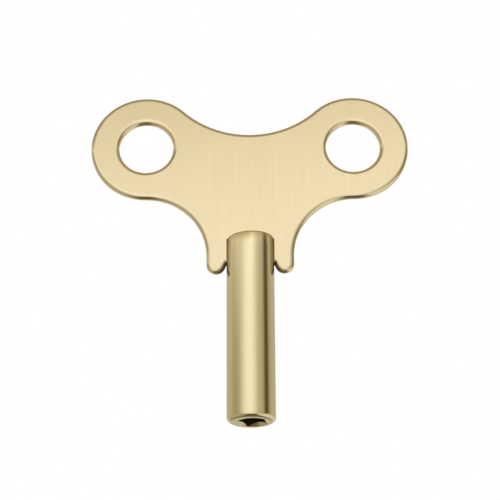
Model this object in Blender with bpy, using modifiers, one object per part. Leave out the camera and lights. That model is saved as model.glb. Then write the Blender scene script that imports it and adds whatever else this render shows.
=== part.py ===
"""Radiator bleed key: a butterfly bow plate seated in the slotted top of a turned barrel.

Metres, +Z up. The origin is the centre of the barrel's lower end, where the square socket opens.
The bow stands in the XZ plane with its front facing -Y.
"""

import math

import bmesh
import bpy

# Barrel: a turned rod that stands on its socket end.
BARREL_RADIUS = 0.00575
BARREL_LENGTH = 0.04595
LOWER_RIM_ROUND = 0.00115
UPPER_RIM_ROUND = 0.0005
BARREL_STEPS = 64

# Socket: a square hole for a 5 mm valve spindle, with the drilled hole that it was broached from.
SOCKET_ACROSS_FLATS = 0.0051
SOCKET_DEPTH = 0.012
SOCKET_TURN = math.radians(-30)
SOCKET_X = 0.00015
SOCKET_Y = 0.00028
PILOT_RADIUS = 0.00245
PILOT_DEPTH = 0.0145
PILOT_POINT_ANGLE = math.radians(118)
MOUTH_RADIUS = 0.0037
MOUTH_ANGLE = math.radians(120)
MOUTH_X = 0.0004
MOUTH_Y = 0.00015

# Bow: a flat plate with two round lobes, a hole in each, and a foot on each side of the barrel.
PLATE_THICKNESS = 0.0025
PLATE_EDGE_ROUND = 0.00095
LOBE_X = 0.0256
LOBE_Z = 0.0701
LOBE_RADIUS = 0.0136
HOLE_RADIUS = 0.0067
TOP_DIP_Z = 0.0736
WAIST_ARC_RADIUS = 0.015
FOOT_RADIUS = 0.0023
FOOT_Z = 0.03935
FOOT_SWEEP = 155

# Joint: the plate drops into a slot across the barrel's upper end.
CLEARANCE = 0.0003
SLOT_WIDTH = PLATE_THICKNESS + 2 * CLEARANCE
SLOT_FLOOR_Z = FOOT_Z - CLEARANCE

# Cutters run this far past the faces that they open.
OVERRUN = 0.002


def clear_scene():
    for obj in list(bpy.data.objects):
        bpy.data.objects.remove(obj, do_unlink=True)


def new_collection(name):
    collection = bpy.data.collections.new(name)
    bpy.context.scene.collection.children.link(collection)
    return collection


def add_object(name, data, collection):
    obj = bpy.data.objects.new(name, data)
    collection.objects.link(obj)
    return obj


def brass(name, colour, roughness):
    """A metal material with the given base colour."""
    material = bpy.data.materials.new(name)
    material.use_nodes = True
    shader = material.node_tree.nodes["Principled BSDF"]
    shader.inputs["Base Color"].default_value = (*colour, 1.0)
    shader.inputs["Metallic"].default_value = 1.0
    shader.inputs["Roughness"].default_value = roughness
    return material


def arc(centre, radius, start_degrees, end_degrees, steps):
    """Points along a circular arc, both ends included."""
    points = []
    for step in range(steps + 1):
        angle = math.radians(start_degrees + (end_degrees - start_degrees) * step / steps)
        points.append((centre[0] + radius * math.cos(angle), centre[1] + radius * math.sin(angle)))
    return points


def without_repeats(points):
    """Drop each point that falls on the one before it, where two arcs meet."""
    kept = [points[0]]
    for point in points[1:]:
        if math.dist(point, kept[-1]) > 1e-6:
            kept.append(point)
    return kept


def half_outline():
    """The bow's right half, from the middle of the top dip down to the foot's inner side.

    The dip arc, the lobe, the waist arc and the foot touch each other without a corner. The foot's
    inner side then slopes up to the barrel.
    """
    rise = TOP_DIP_Z - LOBE_Z
    reach = LOBE_RADIUS - rise
    dip_centre_rise = (LOBE_X**2 - reach**2) / (2 * reach)
    dip_radius = dip_centre_rise - rise
    dip_centre = (0.0, LOBE_Z + dip_centre_rise)
    contact = math.degrees(math.atan2(dip_centre_rise, LOBE_X))
    waist_centre = (LOBE_X, LOBE_Z - LOBE_RADIUS - WAIST_ARC_RADIUS)
    foot_centre = (LOBE_X - WAIST_ARC_RADIUS - FOOT_RADIUS, FOOT_Z)
    points = arc(dip_centre, dip_radius, -90, -contact, 10)
    points += arc((LOBE_X, LOBE_Z), LOBE_RADIUS, 180 - contact, -90, 28)
    points += arc(waist_centre, WAIST_ARC_RADIUS, 90, 180, 12)
    points += arc(foot_centre, FOOT_RADIUS, 0, -FOOT_SWEEP, 12)
    points.append((BARREL_RADIUS + CLEARANCE, FOOT_Z))
    return without_repeats(points)


def add_closed_spline(curve, points):
    spline = curve.splines.new("POLY")
    spline.points.add(len(points) - 1)
    for target, (x, y) in zip(spline.points, points):
        target.co = (x, y, 0.0, 1.0)
    spline.use_cyclic_u = True


def mesh_from_curve(curve_object, name, collection):
    """Turn a filled curve into a closed mesh object in the same place."""
    evaluated = curve_object.evaluated_get(bpy.context.evaluated_depsgraph_get())
    mesh = bpy.data.meshes.new_from_object(evaluated)
    shape = bmesh.new()
    shape.from_mesh(mesh)
    bmesh.ops.remove_doubles(shape, verts=shape.verts, dist=1e-6)
    bmesh.ops.recalc_face_normals(shape, faces=shape.faces)
    shape.to_mesh(mesh)
    shape.free()
    obj = add_object(name, mesh, collection)
    obj.matrix_world = curve_object.matrix_world.copy()
    bpy.data.objects.remove(curve_object, do_unlink=True)
    return obj


def shade_round(mesh, material):
    mesh.materials.clear()
    mesh.materials.append(material)
    mesh.shade_smooth()
    mesh.set_sharp_from_angle(angle=math.radians(35))


def make_bow_plate(collection):
    """The flat plate with its rounded edges, its two holes and its two feet."""
    right = half_outline()
    left = [(-x, z) for x, z in reversed(right)]
    curve = bpy.data.curves.new("bow_outline", "CURVE")
    curve.dimensions = "2D"
    curve.fill_mode = "BOTH"
    curve.extrude = PLATE_THICKNESS / 2 - PLATE_EDGE_ROUND
    curve.bevel_depth = PLATE_EDGE_ROUND
    curve.bevel_resolution = 2
    curve.offset = -PLATE_EDGE_ROUND
    add_closed_spline(curve, right + left[:-1])
    for side in (-1, 1):
        hole = arc((side * LOBE_X, LOBE_Z), HOLE_RADIUS, 0, 360, 40)
        add_closed_spline(curve, hole[:-1])
    outline = add_object("bow_outline", curve, collection)
    outline.rotation_euler = (math.radians(90), 0.0, 0.0)
    bpy.context.view_layer.update()
    plate = mesh_from_curve(outline, "bow_plate", collection)
    shade_round(plate.data, brass("bow_brass", (0.78, 0.66, 0.42), 0.36))
    return plate


def turn_profile(name, points, steps, collection):
    """A solid of revolution about +Z from points (radius, height), top to bottom."""
    mesh = bpy.data.meshes.new(name)
    edges = [(index, index + 1) for index in range(len(points) - 1)]
    mesh.from_pydata([(radius, 0.0, height) for radius, height in points], edges, [])
    obj = add_object(name, mesh, collection)
    screw = obj.modifiers.new("turn", "SCREW")
    screw.axis = "Z"
    screw.steps = steps
    screw.render_steps = steps
    screw.use_merge_vertices = True
    screw.merge_threshold = 1e-6
    screw.use_smooth_shade = True
    return obj


def as_cutter(obj):
    obj.hide_render = True
    obj.display_type = "WIRE"
    return obj


def box_cutter(name, size, centre, turn, collection):
    """A box of the given size, turned about +Z."""
    mesh = bpy.data.meshes.new(name)
    shape = bmesh.new()
    bmesh.ops.create_cube(shape, size=1.0)
    bmesh.ops.scale(shape, vec=size, verts=shape.verts)
    shape.to_mesh(mesh)
    shape.free()
    obj = add_object(name, mesh, collection)
    obj.location = centre
    obj.rotation_euler = (0.0, 0.0, turn)
    return as_cutter(obj)


def slot_cutter(collection):
    height = BARREL_LENGTH + OVERRUN - SLOT_FLOOR_Z
    size = (2 * (BARREL_RADIUS + OVERRUN), SLOT_WIDTH, height)
    return box_cutter("slot_cutter", size, (0.0, 0.0, SLOT_FLOOR_Z + height / 2), 0.0, collection)


def socket_cutter(collection):
    height = SOCKET_DEPTH + OVERRUN
    size = (SOCKET_ACROSS_FLATS, SOCKET_ACROSS_FLATS, height)
    centre = (SOCKET_X, SOCKET_Y, SOCKET_DEPTH - height / 2)
    return box_cutter("socket_cutter", size, centre, SOCKET_TURN, collection)


def pilot_cutter(collection):
    """The drilled hole, with the cone that the drill's point leaves at its end."""
    point_height = PILOT_RADIUS / math.tan(PILOT_POINT_ANGLE / 2)
    points = [
        (0.0, PILOT_DEPTH + point_height),
        (PILOT_RADIUS, PILOT_DEPTH),
        (PILOT_RADIUS, -OVERRUN),
        (0.0, -OVERRUN),
    ]
    obj = turn_profile("pilot_cutter", points, 32, collection)
    obj.location = (SOCKET_X, SOCKET_Y, 0.0)
    return as_cutter(obj)


def mouth_cutter(collection):
    """The shallow cone that breaks the socket's edges."""
    slope = math.tan(MOUTH_ANGLE / 2)
    points = [
        (0.0, MOUTH_RADIUS / slope),
        (MOUTH_RADIUS + OVERRUN * slope, -OVERRUN),
        (0.0, -OVERRUN),
    ]
    obj = turn_profile("mouth_cutter", points, BARREL_STEPS, collection)
    obj.location = (MOUTH_X, MOUTH_Y, 0.0)
    return as_cutter(obj)


def make_barrel(collection, cutters):
    """The turned rod with its rounded rims, slotted for the bow and broached for the spindle."""
    upper_corner = (BARREL_RADIUS - UPPER_RIM_ROUND, BARREL_LENGTH - UPPER_RIM_ROUND)
    lower_corner = (BARREL_RADIUS - LOWER_RIM_ROUND, LOWER_RIM_ROUND)
    profile = [(0.0, BARREL_LENGTH)]
    profile += arc(upper_corner, UPPER_RIM_ROUND, 90, 0, 4)
    profile += arc(lower_corner, LOWER_RIM_ROUND, 0, -90, 6)
    profile += [(0.0, 0.0)]
    barrel = turn_profile("barrel", profile, BARREL_STEPS, collection)
    barrel.data.materials.append(brass("barrel_brass", (0.76, 0.64, 0.38), 0.3))
    for cutter in (
        slot_cutter(cutters),
        mouth_cutter(cutters),
        pilot_cutter(cutters),
        socket_cutter(cutters),
    ):
        cut = barrel.modifiers.new(cutter.name, "BOOLEAN")
        cut.operation = "DIFFERENCE"
        cut.solver = "EXACT"
        cut.object = cutter
    return barrel


def main():
    clear_scene()
    parts = new_collection("radiator_bleed_key")
    cutters = new_collection("cutters")
    make_bow_plate(parts)
    make_barrel(parts, cutters)


main()
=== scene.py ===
"""Radiator bleed key: a brushed brass bow set in the slotted top of a turned brass barrel.

Metres, +Z up, in the frame of the CAD model. The bow stands in the XZ plane and faces -Y.
"""

import math

import bmesh
import bpy
from mathutils import Matrix, Vector


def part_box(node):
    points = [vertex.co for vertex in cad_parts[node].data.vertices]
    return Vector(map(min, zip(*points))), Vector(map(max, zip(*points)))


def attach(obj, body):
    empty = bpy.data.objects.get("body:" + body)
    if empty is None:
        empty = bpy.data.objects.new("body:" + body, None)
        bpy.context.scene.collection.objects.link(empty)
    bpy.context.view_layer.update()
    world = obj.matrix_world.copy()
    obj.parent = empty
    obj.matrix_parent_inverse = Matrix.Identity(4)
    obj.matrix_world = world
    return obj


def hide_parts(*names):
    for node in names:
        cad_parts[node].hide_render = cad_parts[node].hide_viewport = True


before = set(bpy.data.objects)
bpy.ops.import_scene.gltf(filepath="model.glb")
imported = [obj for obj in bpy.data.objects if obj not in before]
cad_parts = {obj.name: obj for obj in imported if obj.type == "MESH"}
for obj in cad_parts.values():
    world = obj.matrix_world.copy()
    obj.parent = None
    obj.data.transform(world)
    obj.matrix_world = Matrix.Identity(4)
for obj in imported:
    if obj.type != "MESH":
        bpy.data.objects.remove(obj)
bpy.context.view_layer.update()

plate_low, plate_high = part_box("bow_plate")
barrel_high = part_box("barrel")[1]

# Bow: the outline is made of arcs that touch each other.
PLATE_THICKNESS = plate_high.y - plate_low.y
LOBE_RADIUS = 0.0136
LOBE_X = plate_high.x - LOBE_RADIUS
LOBE_Z = plate_high.z - LOBE_RADIUS
HOLE_RADIUS = 0.0067
TOP_DIP_Z = 0.0736
WAIST_ARC_RADIUS = 0.015
FOOT_RADIUS = 0.0023
FOOT_Z = plate_low.z + FOOT_RADIUS
FOOT_SWEEP = 155
PLATE_EDGE_ROUND = 0.00095

# The edge's rounding runs further in round the feet: by this factor below the lower height, and
# not at all above the upper one. The left foot reaches a little lower than the right one.
FOOT_SOFTENING = 1.3
FOOT_SOFT_Z = (0.042, 0.050)
LEFT_FOOT_DROP = 0.00018

# Barrel: a turned rod with a square socket in its lower end and a slot across its upper end.
BARREL_RADIUS = barrel_high.x
BARREL_LENGTH = barrel_high.z
LOWER_RIM_ROUND = 0.00115
UPPER_RIM_ROUND = 0.0005
TAPER_LENGTH = 0.003
TAPER_DEPTH = 0.00009
UPPER_END_SLOPE = 0.033
SLOT_CLEARANCE = 0.00002
SOCKET_ACROSS_FLATS = 0.0051
SOCKET_CORNER_ROUND = 0.00018
SOCKET_DEPTH = 0.012
SOCKET_TURN = math.radians(-30)
SOCKET_CENTRE = (0.00015, 0.00028)
PILOT_RADIUS = 0.00245
PILOT_DEPTH = 0.0145
PILOT_POINT_ANGLE = math.radians(118)
MOUTH_RADIUS = 0.0037
MOUTH_ANGLE = math.radians(120)
MOUTH_CENTRE = (0.0004, 0.00015)

# Braze: the radius of its hollow face on each side of the barrel.
LEFT_SEAM_ROUND = 0.0002
RIGHT_SEAM_ROUND = 0.0003

# How fine the meshes are. A narrow border round each flat face keeps it flat beside its rounding.
DEGREES_PER_STEP = 2.5
EDGE_STEPS = 14
RIM_STEPS = 14
CORNER_STEPS = 8
TAPER_STEPS = 8
BARREL_STEPS = 240
FLAT_BORDER = 0.0002
RIM_BORDER = 0.00008

# Faces that meet at more than this angle keep a crisp edge.
CRISP_ANGLE = math.radians(15)

# Cutters run this far past the faces that they open.
OVERRUN = 0.002

# Colours: each metal varies between two of them, and painted shade darkens it beside the joint.
BOW_COLOURS = ((0.930, 0.795, 0.507, 1.0), (0.948, 0.815, 0.525, 1.0))
BARREL_COLOURS = ((0.900, 0.785, 0.485, 1.0), (0.920, 0.810, 0.505, 1.0))
BRAZE_COLOURS = ((0.36, 0.26, 0.12, 1.0), (0.46, 0.35, 0.18, 1.0))
PAINTED_SHADE_COLOUR = (0.24, 0.165, 0.075, 1.0)

# Roughness, and how metallic the duller surfaces are beside clean brass, which is 1: the braze, and
# the painted shade beside it.
BRUSHED_ROUGHNESS = (0.21, 0.25)
EDGE_ROUGHNESS = 0.16
TURNED_ROUGHNESS = (0.13, 0.19)
FACED_ROUGHNESS = 0.28
BRAZE_ROUGHNESS = (0.34, 0.44)
PAINTED_SHADE_ROUGHNESS = 0.55
BRAZE_METALLIC = 0.5
PAINTED_SHADE_METALLIC = 0.25

# Grain: the size of each texture's grains along X, Y and Z, and the pitch of the turning marks.
STREAK_GRAIN = (0.00022, 0.004, 0.02)
BOW_CLOUD_GRAIN = (0.009, 0.009, 0.009)
BARREL_CLOUD_GRAIN = (0.006, 0.006, 0.012)
BRAZE_GRAIN = (0.0005, 0.0005, 0.0008)
RING_PITCH = 0.00016

# Bump: the depth of the marks at full strength, and each texture's strength.
BUMP_DEPTH = 0.00001
STREAK_BUMP = 0.05
RING_BUMP = 0.08
BRAZE_BUMP = 0.3

# Most of a noise texture lies in this part of its range from 0 to 1, and most of the sum of two
# of them in this part of its range from 0 to 2.
NOISE_SPAN = (0.3, 0.7)
NOISE_SUM_SPAN = (0.7, 1.3)

# The bow's flat look fades in as the normal's size along Y rises through this range, and the
# faced look of the barrel's lower end as its part along Z falls through this one.
FLAT_FACING = (0.75, 0.99)
END_FACING = (-0.90, -0.99)

# Painted shade, brown, beside the braze, where the bow and the barrel shade each other. On the
# barrel it reaches this far from the plate's middle and down to this height. On the feet's edges it
# reaches out to this X, and fades out between two heights.
# Its lower end on the barrel and its outer end on the feet fade over the same length.
PAINTED_SHADE_REACH = 0.0034
PAINTED_SHADE_LOW_Z = FOOT_Z - 0.0035
PAINTED_FOOT_SHADE_X = 0.0092
PAINTED_FOOT_SHADE_Z = (FOOT_Z + 0.002, FOOT_Z + 0.006)
PAINTED_SHADE_FADE = 0.002

# Camera: it looks up at the key from in front of it and below it.
CAMERA_AIM = (-0.00007, 0.0, 0.04303)
CAMERA_DISTANCE = 0.39385
CAMERA_ELEVATION = math.radians(-21.77)
CAMERA_ROLL = math.radians(-0.34)
CAMERA_LENS_MM = 117.24
SENSOR_WIDTH_MM = 36.0

# The floor lies well below the key, which hangs in the air.
FLOOR_Z = -0.45
FLOOR_RADIUS = 6.0
FLOOR_COLOUR = (0.9, 0.9, 0.9, 1.0)
FLOOR_ROUGHNESS = 0.9
FLOOR_GLOW = 0.5
WHITE = (1.0, 1.0, 1.0, 1.0)


# ---------------------------------------------------------------- helpers


def arc(centre, radius, start_degrees, end_degrees, steps=None):
    """Points along a circular arc, both ends included.

    Without steps, each step turns by DEGREES_PER_STEP or a little less.
    """
    if steps is None:
        steps = max(2, math.ceil(abs(end_degrees - start_degrees) / DEGREES_PER_STEP))
    points = []
    for step in range(steps + 1):
        angle = math.radians(start_degrees + (end_degrees - start_degrees) * step / steps)
        points.append((centre[0] + radius * math.cos(angle), centre[1] + radius * math.sin(angle)))
    return points


def link_object(name, mesh):
    obj = bpy.data.objects.new(name, mesh)
    bpy.context.scene.collection.objects.link(obj)
    return obj


def shade_round(mesh):
    mesh.shade_smooth()
    mesh.set_sharp_from_angle(angle=CRISP_ANGLE)


def freeze(obj):
    """Turn an object's modifiers into plain mesh."""
    evaluated = obj.evaluated_get(bpy.context.evaluated_depsgraph_get())
    mesh = bpy.data.meshes.new_from_object(evaluated)
    obj.modifiers.clear()
    obj.data = mesh
    return obj


# ---------------------------------------------------------------- bow


def bow_outline(inset):
    """The bow's closed outline as (x, z), moved into the metal by inset.

    The dip, the lobes, the waists and the feet stay in contact at every inset, because one arc of
    each pair loses what the other gains. Each foot's inner side slopes up to the barrel.
    """
    rise = TOP_DIP_Z - LOBE_Z
    reach = LOBE_RADIUS - rise
    dip_centre_rise = (LOBE_X**2 - reach**2) / (2 * reach)
    dip_radius = dip_centre_rise - rise
    dip_centre = (0.0, LOBE_Z + dip_centre_rise)
    contact = math.degrees(math.atan2(dip_centre_rise, LOBE_X))
    waist_centre = (LOBE_X, LOBE_Z - LOBE_RADIUS - WAIST_ARC_RADIUS)
    foot_centre = (LOBE_X - WAIST_ARC_RADIUS - FOOT_RADIUS, FOOT_Z)
    foot_inner_x = BARREL_RADIUS + SLOT_CLEARANCE
    corner_shift = math.tan(math.radians((FOOT_SWEEP - 90) / 2))
    right = arc(dip_centre, dip_radius + inset, -90, -contact)
    right += arc((LOBE_X, LOBE_Z), LOBE_RADIUS - inset, 180 - contact, -90)[1:]
    right += arc(waist_centre, WAIST_ARC_RADIUS + inset, 90, 180)[1:]
    right += arc(foot_centre, FOOT_RADIUS - inset, 0, -FOOT_SWEEP)
    right.append((foot_inner_x + inset * corner_shift, FOOT_Z + inset))
    left = [(-x, z) for x, z in reversed(right)]
    return right + left[:-1]


def soft_bow_outline(inset):
    """The bow's outline at inset, with the feet rounded further in and the left foot lowered."""
    low_z, high_z = FOOT_SOFT_Z
    outline = []
    for (x, z), (soft_x, soft_z) in zip(bow_outline(inset), bow_outline(inset * FOOT_SOFTENING)):
        share = min(1.0, max(0.0, (high_z - z) / (high_z - low_z)))
        drop = LEFT_FOOT_DROP if x < 0 else 0.0
        outline.append((x + (soft_x - x) * share, z + (soft_z - z - drop) * share))
    return outline


def hole_outline(side, inset):
    return arc((side * LOBE_X, LOBE_Z), HOLE_RADIUS + inset, 0, 360)[:-1]


def plate_sections():
    """The rounded edge from front to back: how far in each loop stands, and at which Y."""
    half = PLATE_THICKNESS / 2
    front = [(PLATE_EDGE_ROUND + FLAT_BORDER, -half)]
    for step in range(EDGE_STEPS + 1):
        angle = math.pi / 2 * step / EDGE_STEPS
        inset = PLATE_EDGE_ROUND * (1 - math.sin(angle))
        front.append((inset, -half + PLATE_EDGE_ROUND * (1 - math.cos(angle))))
    return front + [(inset, -y) for inset, y in reversed(front)]


def add_wall(shape, outline_at):
    """Join the loops of one outline, and return the edges of its first and its last loop."""
    loops = []
    for inset, y in plate_sections():
        loops.append([shape.verts.new((x, y, z)) for x, z in outline_at(inset)])
    for near, far in zip(loops, loops[1:]):
        for index in range(len(near)):
            after = (index + 1) % len(near)
            shape.faces.new((near[index], near[after], far[after], far[index]))
    ends = []
    for loop in (loops[0], loops[-1]):
        ends.append([shape.edges.get((loop[index - 1], loop[index])) for index in range(len(loop))])
    return ends


def make_bow_plate():
    """The flat bow with its rounded edges, its two holes, and a foot on each side of the barrel."""
    shape = bmesh.new()
    outlines = [soft_bow_outline]
    for side in (-1, 1):
        outlines.append(lambda inset, side=side: hole_outline(side, inset))
    front_edges = []
    back_edges = []
    for outline_at in outlines:
        front, back = add_wall(shape, outline_at)
        front_edges += front
        back_edges += back
    for edges in (front_edges, back_edges):
        bmesh.ops.triangle_fill(shape, use_beauty=True, edges=edges)
    bmesh.ops.recalc_face_normals(shape, faces=shape.faces)
    mesh = bpy.data.meshes.new("bow_plate_brushed")
    shape.to_mesh(mesh)
    shape.free()
    shade_round(mesh)
    return link_object("bow_plate_brushed", mesh)


# ---------------------------------------------------------------- barrel


def turn_profile(name, points):
    """A solid of revolution about +Z from points (radius, height), top to bottom."""
    mesh = bpy.data.meshes.new(name)
    edges = [(index, index + 1) for index in range(len(points) - 1)]
    mesh.from_pydata([(radius, 0.0, height) for radius, height in points], edges, [])
    obj = link_object(name, mesh)
    screw = obj.modifiers.new("turn", "SCREW")
    screw.axis = "Z"
    screw.steps = BARREL_STEPS
    screw.render_steps = BARREL_STEPS
    screw.use_merge_vertices = True
    screw.merge_threshold = 1e-6
    return freeze(obj)


def barrel_blank():
    """The turned rod before it is slotted.

    It is buffed a little thinner towards its upper end, which is cut a little out of square.
    """
    top = BARREL_LENGTH
    upper_inner = BARREL_RADIUS - TAPER_DEPTH - UPPER_RIM_ROUND
    upper_corner = (upper_inner, top - UPPER_RIM_ROUND)
    lower_inner = BARREL_RADIUS - LOWER_RIM_ROUND
    lower_corner = (lower_inner, LOWER_RIM_ROUND)
    profile = [(0.0, top), (upper_inner - RIM_BORDER, top)]
    profile += arc(upper_corner, UPPER_RIM_ROUND, 90, 0, RIM_STEPS)
    for step in range(1, TAPER_STEPS + 1):
        share = step / TAPER_STEPS
        radius = BARREL_RADIUS - TAPER_DEPTH * (1 - share) ** 2
        profile.append((radius, top - UPPER_RIM_ROUND - TAPER_LENGTH * share))
    profile.append((BARREL_RADIUS, LOWER_RIM_ROUND + RIM_BORDER))
    profile += arc(lower_corner, LOWER_RIM_ROUND, 0, -90, RIM_STEPS)
    profile += [(lower_inner - RIM_BORDER, 0.0), (0.0, 0.0)]
    blank = turn_profile("barrel_turned", profile)
    for vertex in blank.data.vertices:
        if vertex.co.z > FOOT_Z:
            vertex.co.z += UPPER_END_SLOPE * vertex.co.x
    return blank


def prism(name, outline, low_z, high_z):
    """A straight bar over a closed outline of (x, y) points."""
    shape = bmesh.new()
    base = shape.faces.new([shape.verts.new((x, y, low_z)) for x, y in outline])
    raised = bmesh.ops.extrude_face_region(shape, geom=[base])["geom"]
    raised_verts = [item for item in raised if isinstance(item, bmesh.types.BMVert)]
    bmesh.ops.translate(shape, vec=(0.0, 0.0, high_z - low_z), verts=raised_verts)
    bmesh.ops.recalc_face_normals(shape, faces=shape.faces)
    mesh = bpy.data.meshes.new(name)
    shape.to_mesh(mesh)
    shape.free()
    return link_object(name, mesh)


def slot_cutter():
    reach = BARREL_RADIUS + OVERRUN
    half = PLATE_THICKNESS / 2 + SLOT_CLEARANCE
    outline = [(-reach, -half), (reach, -half), (reach, half), (-reach, half)]
    floor_z = FOOT_Z - LEFT_FOOT_DROP - SLOT_CLEARANCE
    return prism("slot_cutter", outline, floor_z, BARREL_LENGTH + OVERRUN)


def socket_cutter():
    """The broached square, with the small round that a broach leaves in each corner."""
    corner = SOCKET_ACROSS_FLATS / 2 - SOCKET_CORNER_ROUND
    outline = []
    for quarter in range(4):
        turn = Matrix.Rotation(math.radians(90 * quarter), 2)
        for point in arc((corner, corner), SOCKET_CORNER_ROUND, 0, 90, CORNER_STEPS):
            outline.append(tuple(turn @ Vector(point)))
    cutter = prism("socket_cutter", outline, -OVERRUN, SOCKET_DEPTH)
    cutter.location = (*SOCKET_CENTRE, 0.0)
    cutter.rotation_euler = (0.0, 0.0, SOCKET_TURN)
    return cutter


def pilot_cutter():
    """The drilled hole that the square was broached from, with the cone of the drill's point."""
    point_height = PILOT_RADIUS / math.tan(PILOT_POINT_ANGLE / 2)
    points = [
        (0.0, PILOT_DEPTH + point_height),
        (PILOT_RADIUS, PILOT_DEPTH),
        (PILOT_RADIUS, -OVERRUN),
        (0.0, -OVERRUN),
    ]
    cutter = turn_profile("pilot_cutter", points)
    cutter.location = (*SOCKET_CENTRE, 0.0)
    return cutter


def mouth_cutter():
    """The shallow cone that breaks the socket's edges."""
    slope = math.tan(MOUTH_ANGLE / 2)
    points = [
        (0.0, MOUTH_RADIUS / slope),
        (MOUTH_RADIUS + OVERRUN * slope, -OVERRUN),
        (0.0, -OVERRUN),
    ]
    cutter = turn_profile("mouth_cutter", points)
    cutter.location = (*MOUTH_CENTRE, 0.0)
    return cutter


def make_barrel():
    """The turned rod, slotted for the bow and broached for the valve's spindle."""
    barrel = barrel_blank()
    cutters = [slot_cutter(), mouth_cutter(), pilot_cutter(), socket_cutter()]
    for cutter in cutters:
        cut = barrel.modifiers.new(cutter.name, "BOOLEAN")
        cut.operation = "DIFFERENCE"
        cut.solver = "EXACT"
        cut.object = cutter
    freeze(barrel)
    for cutter in cutters:
        bpy.data.objects.remove(cutter, do_unlink=True)
    shade_round(barrel.data)
    return barrel


def seam_section(side, face):
    """The brazing metal's outline in the corner between the barrel and one face of the plate.

    Its visible side is a hollow arc that touches the barrel and the plate.
    """
    seam_round = LEFT_SEAM_ROUND if side < 0 else RIGHT_SEAM_ROUND
    plate_y = PLATE_THICKNESS / 2
    centre_y = plate_y + seam_round
    centre_x = math.sqrt((BARREL_RADIUS + seam_round) ** 2 - centre_y**2)
    toward_barrel = 180 + math.degrees(math.atan2(centre_y, centre_x))
    hollow = arc((centre_x, centre_y), seam_round, 270, toward_barrel, CORNER_STEPS)
    inner_x = math.sqrt(BARREL_RADIUS**2 - plate_y**2) - seam_round
    return [(side * x, face * y) for x, y in hollow + [(inner_x, plate_y)]]


def make_seam():
    """Four hollow strips of brazing metal, one in each corner where the barrel meets the plate."""
    strips = []
    for side in (-1, 1):
        for face in (-1, 1):
            section = seam_section(side, face)
            strips.append(prism("strip", section, FOOT_Z, BARREL_LENGTH - UPPER_RIM_ROUND))
    shape = bmesh.new()
    for strip in strips:
        shape.from_mesh(strip.data)
        bpy.data.objects.remove(strip, do_unlink=True)
    mesh = bpy.data.meshes.new("brazed_seam")
    shape.to_mesh(mesh)
    shape.free()
    shade_round(mesh)
    return link_object("brazed_seam", mesh)


# ---------------------------------------------------------------- materials


def add_node(tree, kind, inputs=None, **settings):
    """Add a node. An input is a value, or another node's output, which is then linked."""
    node = tree.nodes.new(kind)
    for name, value in settings.items():
        setattr(node, name, value)
    for name, value in (inputs or {}).items():
        if isinstance(value, bpy.types.NodeSocket):
            tree.links.new(value, node.inputs[name])
        else:
            node.inputs[name].default_value = value
    return node


def calculate(tree, operation, *values):
    node = add_node(tree, "ShaderNodeMath", dict(enumerate(values)), operation=operation)
    return node.outputs[0]


def map_range(tree, value, from_low, from_high, to_low, to_high):
    node = add_node(
        tree,
        "ShaderNodeMapRange",
        {
            "Value": value,
            "From Min": from_low,
            "From Max": from_high,
            "To Min": to_low,
            "To Max": to_high,
        },
    )
    return node.outputs["Result"]


def noise(tree, coordinates, cell, detail=2.0):
    """Noise whose grains measure cell along X, Y and Z, in metres."""
    scaled = add_node(
        tree,
        "ShaderNodeMapping",
        {"Vector": coordinates, "Scale": [1 / size for size in cell]},
    )
    node = add_node(
        tree,
        "ShaderNodeTexNoise",
        {"Vector": scaled.outputs["Vector"], "Scale": 1.0, "Detail": detail},
    )
    return node.outputs["Fac"]


def new_metal(name):
    material = bpy.data.materials.new(name)
    material.use_nodes = True
    tree = material.node_tree
    shader = tree.nodes["Principled BSDF"]
    shader.inputs["Metallic"].default_value = 1.0
    return material, tree, shader


def mix_colours(tree, share, first, second):
    node = add_node(tree, "ShaderNodeMix", {0: share, 6: first, 7: second}, data_type="RGBA")
    return node.outputs[2]


def mix_values(tree, share, first, second):
    node = add_node(tree, "ShaderNodeMix", {0: share, 2: first, 3: second}, data_type="FLOAT")
    return node.outputs[0]


def add_bump(tree, shader, height, strength):
    bump = add_node(
        tree,
        "ShaderNodeBump",
        {"Height": height, "Strength": strength, "Distance": BUMP_DEPTH},
    )
    tree.links.new(bump.outputs["Normal"], shader.inputs["Normal"])


def finish_metal(tree, shader, colour, roughness, painted_shade):
    """Give the metal its colour and roughness, and paint shade on it, brown and dull, where the
    painted shade mask is 1.
    """
    colour_with_shade = mix_colours(tree, painted_shade, colour, PAINTED_SHADE_COLOUR)
    roughness_with_shade = mix_values(tree, painted_shade, roughness, PAINTED_SHADE_ROUGHNESS)
    tree.links.new(colour_with_shade, shader.inputs["Base Color"])
    tree.links.new(roughness_with_shade, shader.inputs["Roughness"])
    tree.links.new(mix_values(tree, painted_shade, 1.0, PAINTED_SHADE_METALLIC), shader.inputs["Metallic"])


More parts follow.
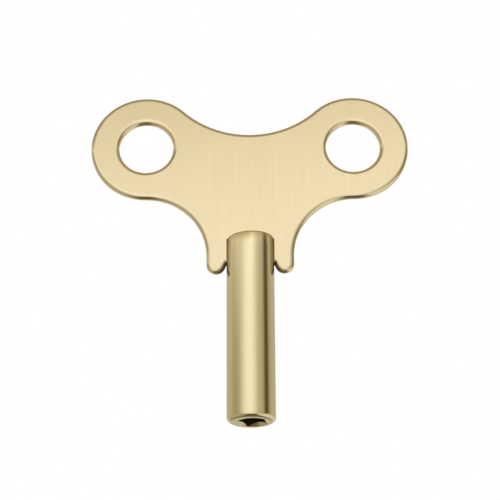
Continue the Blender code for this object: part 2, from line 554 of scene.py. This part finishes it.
def brushed_brass():
    """Satin brass, brushed up and down the bow, with smoother rounded edges, and painted shade,
    brown, on the feet's edges beside the barrel.
    """
    material, tree, shader = new_metal("brushed_brass")
    place = add_node(tree, "ShaderNodeTexCoord").outputs
    streaks = noise(tree, place["Object"], STREAK_GRAIN, detail=3.0)
    clouds = noise(tree, place["Object"], BOW_CLOUD_GRAIN, detail=3.0)
    normal = add_node(tree, "ShaderNodeSeparateXYZ", {"Vector": place["Normal"]})
    facing = calculate(tree, "ABSOLUTE", normal.outputs["Y"])
    flat = map_range(tree, facing, *FLAT_FACING, 0.0, 1.0)

    grain = calculate(tree, "ADD", streaks, clouds)
    tint_share = map_range(tree, grain, *NOISE_SUM_SPAN, 0.0, 1.0)
    clean = mix_colours(tree, tint_share, *BOW_COLOURS)
    # Painted shade: the feet's rounded edges beside the barrel turn brown and dull where the barrel
    # shades them; the flat faces keep none.
    spot = add_node(tree, "ShaderNodeSeparateXYZ", {"Vector": place["Object"]}).outputs
    aside = calculate(tree, "ABSOLUTE", spot["X"])
    beside_barrel = map_range(tree, aside, PAINTED_FOOT_SHADE_X, PAINTED_FOOT_SHADE_X - PAINTED_SHADE_FADE, 0.0, 1.0)
    low_z, high_z = PAINTED_FOOT_SHADE_Z
    on_foot = map_range(tree, spot["Z"], high_z, low_z, 0.0, 1.0)
    painted_foot_shade = calculate(tree, "MULTIPLY", beside_barrel, on_foot)
    painted_shade = mix_values(tree, flat, painted_foot_shade, 0.0)

    satin = map_range(tree, streaks, *NOISE_SPAN, *BRUSHED_ROUGHNESS)
    finish_metal(tree, shader, clean, mix_values(tree, flat, EDGE_ROUGHNESS, satin), painted_shade)
    add_bump(tree, shader, streaks, STREAK_BUMP)
    return material


def turned_brass():
    """Fine-turned brass: rings round the barrel and its end, and painted shade, brown, on the barrel
    beside the bow, where the bow shades it.
    """
    material, tree, shader = new_metal("turned_brass")
    place = add_node(tree, "ShaderNodeTexCoord").outputs
    spot = add_node(tree, "ShaderNodeSeparateXYZ", {"Vector": place["Object"]}).outputs
    normal = add_node(tree, "ShaderNodeSeparateXYZ", {"Vector": place["Normal"]}).outputs
    across = add_node(tree, "ShaderNodeCombineXYZ", {"X": spot["X"], "Y": spot["Y"]}).outputs[0]
    radius = add_node(tree, "ShaderNodeVectorMath", {0: across}, operation="LENGTH").outputs["Value"]
    along = calculate(tree, "ADD", radius, spot["Z"])
    rings = add_node(
        tree,
        "ShaderNodeTexNoise",
        {"W": along, "Scale": 1 / RING_PITCH, "Detail": 2.0},
        noise_dimensions="1D",
    ).outputs["Fac"]

    clouds = noise(tree, place["Object"], BARREL_CLOUD_GRAIN)
    clean = mix_colours(tree, clouds, *BARREL_COLOURS)
    # Painted shade: brown and dull on the barrel beside the plate and under the feet, where the bow
    # shades it.
    from_plate = calculate(tree, "ABSOLUTE", spot["Y"])
    near_plate = map_range(tree, from_plate, PAINTED_SHADE_REACH, PLATE_THICKNESS / 2, 0.0, 1.0)
    beside_plate = map_range(tree, spot["Z"], PAINTED_SHADE_LOW_Z, PAINTED_SHADE_LOW_Z + PAINTED_SHADE_FADE, 0.0, 1.0)
    painted_shade = calculate(tree, "MULTIPLY", near_plate, beside_plate)

    turned = map_range(tree, rings, *NOISE_SPAN, *TURNED_ROUGHNESS)
    faced = map_range(tree, normal["Z"], *END_FACING, 0.0, 1.0)
    finish_metal(tree, shader, clean, mix_values(tree, faced, turned, FACED_ROUGHNESS), painted_shade)
    add_bump(tree, shader, rings, RING_BUMP)
    return material


def braze_brass():
    """Dull brown brazing metal."""
    material, tree, shader = new_metal("braze_brass")
    place = add_node(tree, "ShaderNodeTexCoord").outputs
    grains = noise(tree, place["Object"], BRAZE_GRAIN)
    roughness = map_range(tree, grains, *NOISE_SPAN, *BRAZE_ROUGHNESS)
    tree.links.new(mix_colours(tree, grains, *BRAZE_COLOURS), shader.inputs["Base Color"])
    tree.links.new(roughness, shader.inputs["Roughness"])
    shader.inputs["Metallic"].default_value = BRAZE_METALLIC
    add_bump(tree, shader, grains, BRAZE_BUMP)
    return material


# ---------------------------------------------------------------- studio


def ramp(tree, value, stops, low, high):
    """A curve through stops (position, level), with positions from low to high.

    A level is a brightness or a colour.
    """
    position = map_range(tree, value, low, high, 0.0, 1.0)
    node = add_node(tree, "ShaderNodeValToRGB", {"Fac": position})
    elements = node.color_ramp.elements
    elements[0].position = (stops[0][0] - low) / (high - low)
    elements[-1].position = (stops[-1][0] - low) / (high - low)
    for place, _ in stops[1:-1]:
        elements.new((place - low) / (high - low))
    for element, (_, level) in zip(elements, stops):
        colour = level if isinstance(level, tuple) else (level, level, level)
        element.color = (*colour, 1.0)
    return node.outputs["Color"]


# Brightness round the key at eye level, by azimuth: 0 is in front and 90 is to the right.
AROUND = [
    (-180, 0.56),
    (-135, 0.50),
    (-112, 0.505),
    (-82, 0.347),
    (-60, 0.39),
    (-44, 0.665),
    (-26, 0.93),
    (-8, 1.00),
    (6, 0.95),
    (20, 0.76),
    (34, 0.545),
    (57, 0.43),
    (66, 0.24),
    (72, 0.07),
    (80, 0.07),
    (88, 0.20),
    (97, 0.40),
    (112, 0.48),
    (150, 0.50),
    (180, 0.56),
]

# Brightness below the key, by pitch: 90 is straight down and 180 is behind.
BELOW = [(58, 0.30), (70, 0.10), (96, 0.10), (110, 0.15), (153, 0.15), (163, 0.80), (180, 0.80)]

# Brightness below the key at each side, by X of the direction. A direction takes the brighter of
# its levels in BELOW and SIDES.
SIDES = [(-0.70, 0.45), (-0.30, 0.30), (-0.15, 0.0), (0.22, 0.0), (0.45, 0.75)]

# The part below the key fades in over these heights and, at the front, over these pitches.
LOW_HEIGHTS = (-4.0, -18.0)
FAR_PITCHES = (44.0, 62.0)

# Brightness added on the left, by azimuth, and its share at each height in degrees. The range of
# heights is the part of the sky that the curve of shares is drawn over.
LEFT_LIGHT = [(-130, 0.0), (-98, 0.10), (-65, 0.34), (-40, 0.0)]
LEFT_HEIGHTS = [(16.5, 0.0), (17.5, 0.12), (20.1, 0.20), (20.9, 1.0)]
LEFT_HEIGHT_RANGE = (15, 22)

# The ceiling's brightness, and the heights over which it fades in. They are lower by CEILING_SLANT
# degrees where X of the direction is below -SLANT_X, and as much higher where it is over SLANT_X.
CEILING_LEVEL = 0.23
CEILING_HEIGHTS = (24.0, 30.0)
CEILING_SLANT = 1.0
SLANT_X = 0.1

# The light's strength rises to this between these heights, and keeps it further up.
UPPER_HEIGHTS = (21.4, 24.2)
UPPER_STRENGTH = 1.46

# The colour of the light at each brightness: dim parts of the room are browner.
WARMTH = [
    (0.0, (0.0, 0.0, 0.0)),
    (0.10, (0.10, 0.079, 0.037)),
    (0.40, (0.40, 0.368, 0.288)),
    (0.62, (0.62, 0.593, 0.51)),
    (0.85, (0.85, 0.8425, 0.81)),
    (1.0, (1.0, 1.0, 1.0)),
]


def make_studio():
    """A soft room with a broad bright screen in front of the key, before a white background."""
    world = bpy.data.worlds.new("studio")
    bpy.context.scene.world = world
    world.use_nodes = True
    tree = world.node_tree
    tree.nodes.clear()
    direction = add_node(tree, "ShaderNodeTexCoord").outputs["Generated"]
    axes = add_node(tree, "ShaderNodeSeparateXYZ", {"Vector": direction}).outputs
    ahead = calculate(tree, "MULTIPLY", axes["Y"], -1.0)
    down = calculate(tree, "MULTIPLY", axes["Z"], -1.0)
    azimuth = calculate(tree, "DEGREES", calculate(tree, "ARCTAN2", axes["X"], ahead))
    pitch = calculate(tree, "DEGREES", calculate(tree, "ARCTAN2", down, ahead))
    height = calculate(tree, "DEGREES", calculate(tree, "ARCSINE", axes["Z"]))

    left_light = ramp(tree, azimuth, LEFT_LIGHT, -180, 180)
    left_share = ramp(tree, height, LEFT_HEIGHTS, *LEFT_HEIGHT_RANGE)
    around = ramp(tree, azimuth, AROUND, -180, 180)
    around = calculate(tree, "MULTIPLY_ADD", left_light, left_share, around)
    below_level = ramp(tree, pitch, BELOW, 0, 180)
    side_level = ramp(tree, axes["X"], SIDES, -1, 1)
    below = calculate(tree, "MAXIMUM", below_level, side_level)
    low = map_range(tree, height, *LOW_HEIGHTS, 0.0, 1.0)
    far = map_range(tree, pitch, *FAR_PITCHES, 0.0, 1.0)
    lower = mix_colours(tree, calculate(tree, "MULTIPLY", low, far), around, below)

    slant = map_range(tree, axes["X"], -SLANT_X, SLANT_X, CEILING_SLANT, -CEILING_SLANT)
    slanted_height = calculate(tree, "ADD", height, slant)
    above_share = map_range(tree, slanted_height, *CEILING_HEIGHTS, 0.0, 1.0)
    level = mix_colours(tree, above_share, lower, (CEILING_LEVEL,) * 3 + (1.0,))
    warm = ramp(tree, level, WARMTH, 0.0, 1.0)
    strength = map_range(tree, height, *UPPER_HEIGHTS, 1.0, UPPER_STRENGTH)
    room = add_node(tree, "ShaderNodeBackground", {"Color": warm, "Strength": strength})
    white = add_node(tree, "ShaderNodeBackground", {"Color": WHITE})
    seen = add_node(tree, "ShaderNodeLightPath").outputs["Is Camera Ray"]
    both = add_node(tree, "ShaderNodeMixShader", {0: seen, 1: room.outputs[0], 2: white.outputs[0]})
    add_node(tree, "ShaderNodeOutputWorld", {"Surface": both.outputs[0]})
    bpy.context.scene.view_settings.view_transform = "Standard"


def make_floor():
    """A plain pale floor, which the key doesn't mirror: the room's levels already stand for it."""
    shape = bmesh.new()
    bmesh.ops.create_circle(shape, cap_ends=True, radius=FLOOR_RADIUS, segments=128)
    mesh = bpy.data.meshes.new("floor")
    shape.to_mesh(mesh)
    shape.free()
    floor = link_object("floor", mesh)
    floor.location = (0.0, 0.0, FLOOR_Z)
    material = bpy.data.materials.new("pale_floor")
    material.use_nodes = True
    shader = material.node_tree.nodes["Principled BSDF"]
    shader.inputs["Base Color"].default_value = FLOOR_COLOUR
    shader.inputs["Roughness"].default_value = FLOOR_ROUGHNESS
    shader.inputs["Emission Color"].default_value = WHITE
    shader.inputs["Emission Strength"].default_value = FLOOR_GLOW
    floor.data.materials.append(material)
    floor.visible_glossy = False
    floor.visible_diffuse = False


def make_camera():
    camera_data = bpy.data.cameras.new("camera")
    camera_data.lens = CAMERA_LENS_MM
    camera_data.sensor_width = SENSOR_WIDTH_MM
    camera = bpy.data.objects.new("camera", camera_data)
    bpy.context.scene.collection.objects.link(camera)
    back = Vector((0.0, -math.cos(CAMERA_ELEVATION), math.sin(CAMERA_ELEVATION)))
    upright = (-back).to_track_quat("-Z", "Y").to_matrix()
    roll = Matrix.Rotation(CAMERA_ROLL, 3, "Z")
    camera.matrix_world = Matrix.LocRotScale(
        Vector(CAMERA_AIM) + back * CAMERA_DISTANCE, upright @ roll, None
    )
    bpy.context.scene.camera = camera


# ---------------------------------------------------------------- scene

make_camera()
make_studio()
make_floor()

bow_plate = make_bow_plate()
bow_plate.data.materials.append(brushed_brass())
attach(bow_plate, "root")
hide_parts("bow_plate")

barrel = make_barrel()
barrel.data.materials.clear()
barrel.data.materials.append(turned_brass())
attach(barrel, "root")
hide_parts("barrel")

seam = make_seam()
seam.data.materials.append(braze_brass())
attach(seam, "root")

bpy.context.view_layer.update()
